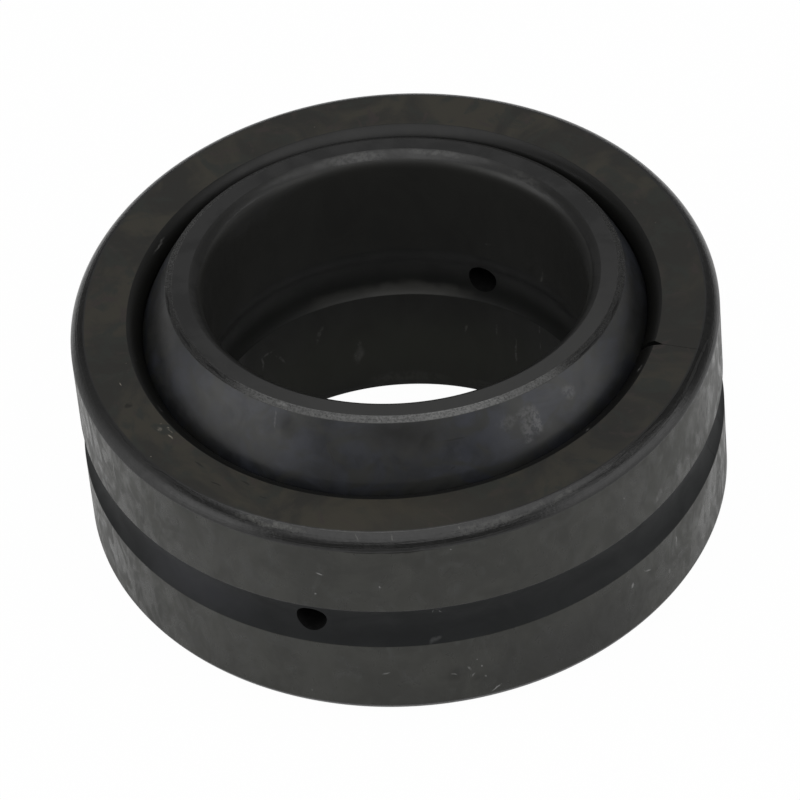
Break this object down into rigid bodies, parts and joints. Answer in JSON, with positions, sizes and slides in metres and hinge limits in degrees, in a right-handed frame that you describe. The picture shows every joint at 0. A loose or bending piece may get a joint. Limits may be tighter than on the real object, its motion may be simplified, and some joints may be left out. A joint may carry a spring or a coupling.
{
  "type": "spherical plain bearing",
  "caption": "Steel spherical plain bearing: a ball-shaped inner ring turns and tilts inside a cracked outer ring with a hollow spherical raceway, oil grooves and oil holes.",
  "frame": {"origin": "centre of the sphere, in the middle of the bore", "axes": "+Z along the bore axis of the inner ring, which stands on its lower end face; X is the axis that the outer ring tilts about, with its -Y side down"},
  "size_m": [0.042, 0.0432, 0.02],
  "materials": {
    "ground_steel": "hardened bearing steel, ground and phosphated, satin blue-grey",
    "phosphated_steel": "hardened bearing steel, phosphated, brown-black faces and mottled grey outside"
  },
  "bodies": {
    "inner_ring": {"inner_ring": "ground_steel"},
    "outer_ring": {"outer_ring": "phosphated_steel"}
  },
  "joints": [
    {"name": "tilt", "type": "hinge", "parent": "inner_ring", "child": "outer_ring", "pos_m": [0, 0, 0], "axis": [1, 0, 0], "range_deg": [-12.83, 1.17]}
  ]
}
